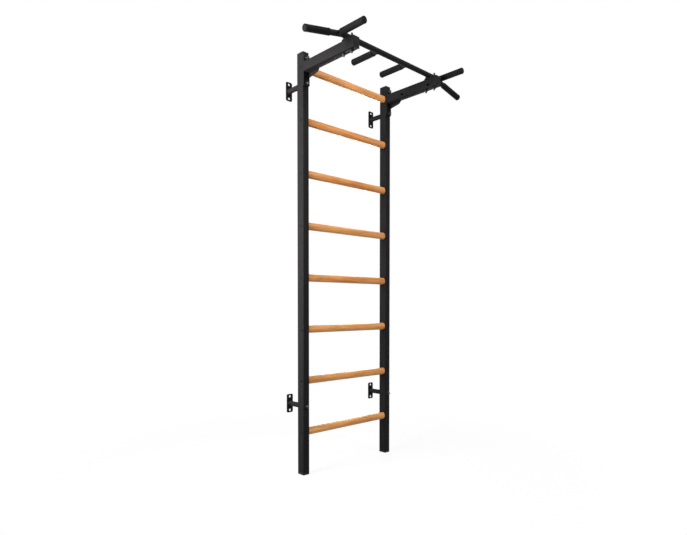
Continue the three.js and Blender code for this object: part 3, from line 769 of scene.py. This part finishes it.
def make_bead(name, points, closed=False, radius=BEAD_RADIUS):
    """A rippled bead along a dense path."""
    radii = []
    run = 0.0
    for i, point in enumerate(points):
        if i:
            run += (point - points[i - 1]).length
        ripple = 0.5 + 0.5 * math.cos(2 * math.pi * run / BEAD_RIPPLE)
        uneven = random.uniform(-BEAD_UNEVENNESS, BEAD_UNEVENNESS)
        radii.append(radius * (BEAD_LOW_SHARE + BEAD_RIPPLE_SHARE * ripple + uneven))
    if not closed:
        for i, fade in enumerate(BEAD_END_SHARES):
            radii[i] *= fade
            radii[-1 - i] *= fade
    add_piece(name, swept(points, radii, BEAD_SEGMENTS, closed), POWDER_COAT)


def line(start, end):
    count = max(int((end - start).length / BEAD_STEP), 2)
    return [start.lerp(end, i / count) for i in range(count + 1)]


def saddle_curve(root, direction, along_bar):
    """Where a spur tube meets the bar."""
    across = along_bar.cross(direction)
    points = []
    for i in range(SPUR_SEAM_POINTS):
        angle = 2 * math.pi * i / SPUR_SEAM_POINTS
        sideways = BAR_RADIUS * math.sin(angle)
        forward = math.sqrt(max(BAR_RADIUS ** 2 - sideways ** 2, 0))
        around = along_bar * BAR_RADIUS * math.cos(angle) + across * sideways
        points.append(root + around + direction * forward)
    return points


for side_name, side in SIDES.items():
    for kind in ("forward", "inner"):
        root, direction = spur_root(kind, side_name)
        along = OUTWARD[side_name] if kind == "forward" else Vector((side, 0, 0))
        seam = saddle_curve(root, direction, along)
        make_bead(f"{side_name}_{kind}_spur_weld", seam, True, SPUR_BEAD_RADIUS)

    saddle_low, saddle_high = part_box(f"{side_name}_saddle")
    middle_x = (saddle_low.x + saddle_high.x) / 2
    for row, sign in (("rear", 1), ("front", -1)):
        y = BAR_AXIS.y + sign * (BAR_RADIUS - BEAD_SINK)
        z = saddle_high.z + BEAD_LIFT
        start = Vector((middle_x - CRADLE_WIDTH / 2 + BEAD_END_GAP, y, z))
        end = Vector((middle_x + CRADLE_WIDTH / 2 - BEAD_END_GAP, y, z))
        make_bead(f"{side_name}_saddle_{row}_weld", line(start, end))

    for level in ("upper", "lower"):
        bracket_low, bracket_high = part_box(f"{level}_{side_name}_wall_bracket")
        middle = (bracket_low + bracket_high) / 2
        plate_face = bracket_high.y - PLATE_THICKNESS
        around_stub = circle(STUB_RADIUS, 0, BRACKET_SEAM_POINTS)
        ring = [Vector((middle.x + p.x, plate_face, middle.z + p.y)) for p in around_stub]
        make_bead(f"{level}_{side_name}_bracket_weld", ring, True)


# Floor, light and camera

AMBIENT = 0.05
FLOOR_GREY = 0.75
FLOOR_BOUNCE = 0.4
FLOOR_GAP = 0.5 * MM
FLOOR_HALF_SIZE = 20
SHADOW_SHARE = 0.1
SHADOW_FULL_TO = 0.7
SHADOW_GONE_FROM = 1.6


def background_rays(tree):
    """1 for the rays that see the white background: camera, glossy and transmission rays."""
    path = tree.nodes.new("ShaderNodeLightPath")
    total = path.outputs["Is Camera Ray"]
    for kind in ("Is Glossy Ray", "Is Transmission Ray"):
        either = tree.nodes.new("ShaderNodeMath")
        either.operation = "MAXIMUM"
        tree.links.new(total, either.inputs[0])
        tree.links.new(path.outputs[kind], either.inputs[1])
        total = either.outputs["Value"]
    return total


def make_floor():
    """Pale floor that shows the object's shadow and turns to the background's white further off.

    The light that it throws back at the object is that of a darker grey, FLOOR_BOUNCE.
    """
    bm = bmesh.new()
    bmesh.ops.create_grid(bm, x_segments=1, y_segments=1, size=FLOOR_HALF_SIZE)
    mesh = bpy.data.meshes.new("floor")
    bm.to_mesh(mesh)
    bm.free()
    floor = bpy.data.objects.new("floor", mesh)
    floor.location.z = cad_low.z - FLOOR_GAP
    bpy.context.scene.collection.objects.link(floor)
    material = bpy.data.materials.new("pale_floor")
    material.use_nodes = True
    tree = material.node_tree
    tree.nodes.clear()
    seen = background_rays(tree)
    tone = tree.nodes.new("ShaderNodeMix")
    tone.data_type = "RGBA"
    tone.inputs[MIX_FIRST_COLOUR].default_value = grey(FLOOR_BOUNCE)
    tone.inputs[MIX_SECOND_COLOUR].default_value = grey(FLOOR_GREY)
    diffuse = tree.nodes.new("ShaderNodeBsdfDiffuse")
    white = tree.nodes.new("ShaderNodeEmission")
    place = tree.nodes.new("ShaderNodeNewGeometry")
    distance = tree.nodes.new("ShaderNodeVectorMath")
    distance.operation = "LENGTH"
    whiteness = tree.nodes.new("ShaderNodeMapRange")
    whiteness.inputs["From Min"].default_value = SHADOW_FULL_TO
    whiteness.inputs["From Max"].default_value = SHADOW_GONE_FROM
    whiteness.inputs["To Min"].default_value = 1 - SHADOW_SHARE
    whiteness.inputs["To Max"].default_value = 1.0
    share = tree.nodes.new("ShaderNodeMath")
    share.operation = "MULTIPLY"
    mix = tree.nodes.new("ShaderNodeMixShader")
    output = tree.nodes.new("ShaderNodeOutputMaterial")
    tree.links.new(place.outputs["Position"], distance.inputs[0])
    tree.links.new(distance.outputs["Value"], whiteness.inputs["Value"])
    tree.links.new(seen, tone.inputs["Factor"])
    tree.links.new(tone.outputs[MIX_COLOUR], diffuse.inputs["Color"])
    tree.links.new(seen, share.inputs[0])
    tree.links.new(whiteness.outputs["Result"], share.inputs[1])
    tree.links.new(share.outputs["Value"], mix.inputs["Fac"])
    tree.links.new(diffuse.outputs["BSDF"], mix.inputs[1])
    tree.links.new(white.outputs["Emission"], mix.inputs[2])
    tree.links.new(mix.outputs["Shader"], output.inputs["Surface"])
    mesh.materials.append(material)


def make_world():
    """White background; its light on the object is even and dim, the softboxes do the rest."""
    world = bpy.data.worlds.new("studio")
    bpy.context.scene.world = world
    world.use_nodes = True
    tree = world.node_tree
    tree.nodes.clear()
    strength = tree.nodes.new("ShaderNodeMix")
    strength.inputs[MIX_FIRST_NUMBER].default_value = AMBIENT
    strength.inputs[MIX_SECOND_NUMBER].default_value = 1.0
    background = tree.nodes.new("ShaderNodeBackground")
    background.inputs["Color"].default_value = grey(1)
    output = tree.nodes.new("ShaderNodeOutputWorld")
    tree.links.new(background_rays(tree), strength.inputs["Factor"])
    tree.links.new(strength.outputs[MIX_NUMBER], background.inputs["Strength"])
    tree.links.new(background.outputs["Background"], output.inputs["Surface"])


def add_softbox(name, place, target, width, height, power):
    """A rectangular lamp in metres and watts that faces its target."""
    lamp = bpy.data.lights.new(name, "AREA")
    lamp.shape = "RECTANGLE"
    lamp.size = width
    lamp.size_y = height
    lamp.energy = power
    holder = bpy.data.objects.new(name, lamp)
    holder.location = place
    holder.rotation_euler = (Vector(target) - Vector(place)).to_track_quat("-Z", "Y").to_euler()
    bpy.context.scene.collection.objects.link(holder)


def make_camera():
    lens = bpy.data.cameras.new("camera")
    lens.sensor_fit = "HORIZONTAL"
    lens.sensor_width = SENSOR_WIDTH
    lens.lens = SENSOR_WIDTH * FOCAL_PIXELS / IMAGE_WIDTH
    lens.shift_y = (PRINCIPAL_ROW - IMAGE_HEIGHT / 2) / IMAGE_WIDTH
    camera = bpy.data.objects.new("camera", lens)
    camera.location = CAMERA_PLACE
    camera.rotation_euler = (CAMERA_PITCH, 0, CAMERA_YAW)
    bpy.context.scene.collection.objects.link(camera)
    bpy.context.scene.camera = camera


make_floor()
make_world()
add_softbox("key_left", place=(-1.45, -0.05, 1.6), target=(0, -0.1, 1.46), width=0.7, height=2.1, power=79)
add_softbox("top_front", place=(0.2, -2.7, 3.4), target=(0, -0.2, 1.0), width=1.8, height=1.0, power=90)
add_softbox("back_right", place=(2.0, 1.8, 1.9), target=(0, 0.0, 1.3), width=0.8, height=2.0, power=56)
make_camera()

bpy.context.scene.view_settings.view_transform = "Standard"
